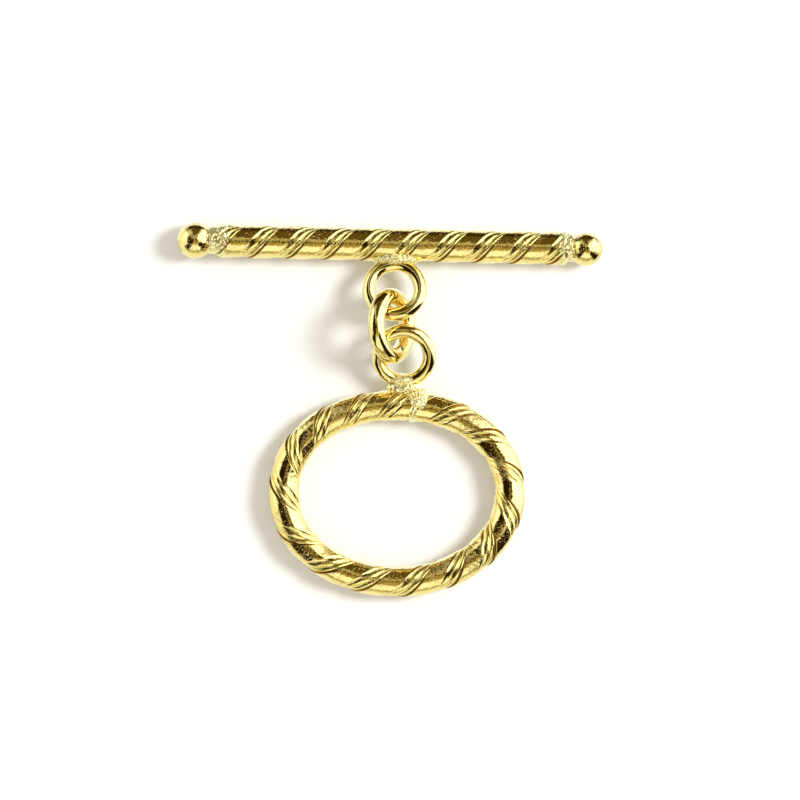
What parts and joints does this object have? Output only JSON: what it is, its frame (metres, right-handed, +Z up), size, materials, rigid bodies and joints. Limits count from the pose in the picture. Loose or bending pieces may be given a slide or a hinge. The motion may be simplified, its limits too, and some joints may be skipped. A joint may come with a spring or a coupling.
{
  "type": "toggle clasp",
  "caption": "Toggle clasp: a roped bar with ball ends and a roped oval ring, each with a soldered wire loop, linked by one jump ring and lying flat.",
  "frame": {"origin": "on the table, under the middle of the whole clasp's outline as it lies", "axes": "+X along the bar towards its smaller ball, +Y from the oval ring towards the bar, +Z up from the table"},
  "size_m": [0.03, 0.0264, 0.0047],
  "materials": {
    "gold": "polished yellow gold plate, grainy where it is soldered",
    "wire_gold": "polished yellow gold plate on smooth wire"
  },
  "bodies": {
    "root": {"toggle_bar": "gold", "jump_ring": "wire_gold", "toggle_ring": "gold"}
  },
  "joints": []
}
